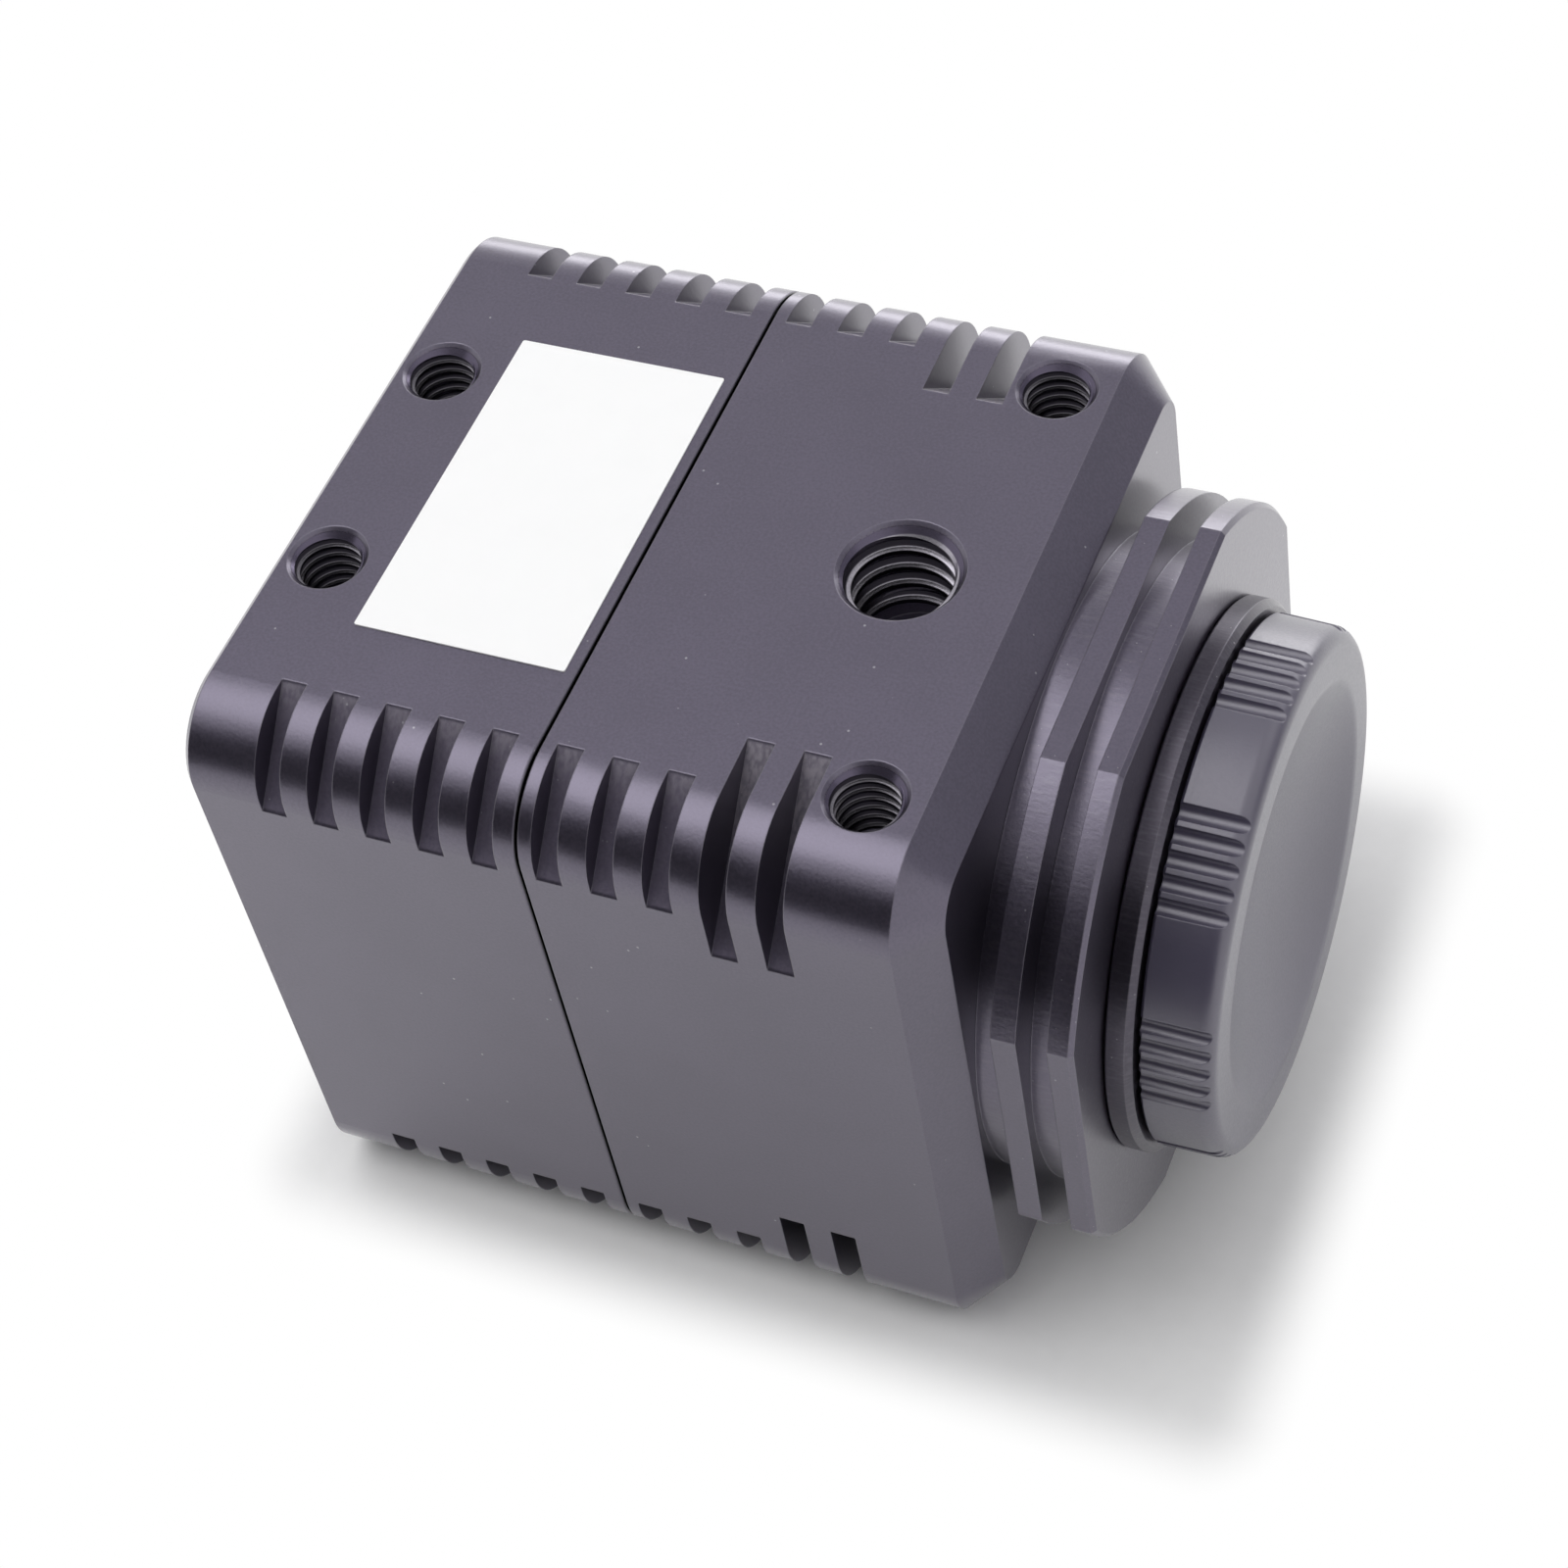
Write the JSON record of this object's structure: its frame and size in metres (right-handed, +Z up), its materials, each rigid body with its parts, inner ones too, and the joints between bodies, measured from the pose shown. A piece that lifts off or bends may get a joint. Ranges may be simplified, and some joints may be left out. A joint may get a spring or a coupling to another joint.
{
  "type": "machine vision camera",
  "caption": "Cube-shaped machine vision camera: slotted split housing, finned neck, screw-in lens mount ring and dished dust cap, mounting threads on top, receptacles on the rear.",
  "frame": {"origin": "centre of the body's plain bottom face, midway between the body's rear face and its front face", "axes": "+X along the lens axis towards the dust cap, +Z up through the face with the threaded mounting holes, +Y across the body"},
  "size_m": [0.0532, 0.04, 0.0401],
  "materials": {
    "anodised_shell": "bead-blasted black anodised",
    "anodised_ring": "turned, black anodised",
    "cap_plastic": "moulded, satin black",
    "optical_glass": "polished, coated",
    "gasket_rubber": "soft foam",
    "sensor_ceramic": "ceramic",
    "sensor_silicon": "polished silicon",
    "circuit_board": "solder mask",
    "chip_plastic": "moulded",
    "connector_plastic": "moulded",
    "spacer_brass": "turned",
    "screw_steel": "black oxide",
    "component_can": "drawn",
    "connector_metal": "nickel plated",
    "contact_metal": "gold plated",
    "light_plastic": "translucent",
    "label_film": "bare white film"
  },
  "bodies": {
    "camera": {"rear_cover": "anodised_shell", "front_housing": "anodised_shell", "c_mount_ring": "anodised_ring", "filter_glass": "optical_glass", "filter_retainer": "anodised_ring", "sensor_gasket": "gasket_rubber", "sensor_package": "sensor_ceramic", "sensor_die": "sensor_silicon", "sensor_window": "optical_glass", "sensor_board": "circuit_board", "processor_board": "circuit_board", "interface_board": "circuit_board", "processor_chip": "chip_plastic", "memory_chips": "chip_plastic", "board_sockets": "connector_plastic", "board_plugs": "connector_plastic", "front_spacers": "spacer_brass", "rear_spacers": "spacer_brass", "board_screws": "screw_steel", "power_inductors": "chip_plastic", "capacitors": "component_can", "housing_screws": "screw_steel", "data_shell": "connector_metal", "data_insert": "connector_plastic", "data_contacts": "contact_metal", "control_shell": "connector_metal", "control_insert": "connector_plastic", "control_pins": "contact_metal", "control_nut": "connector_metal", "status_light": "light_plastic", "label": "label_film"},
    "cap": {"dust_cap": "cap_plastic"}
  },
  "joints": [
    {"name": "cap_lift", "type": "slide", "parent": "camera", "child": "cap", "axis": [1, 0, 0], "range_m": [0, 0.035]}
  ]
}
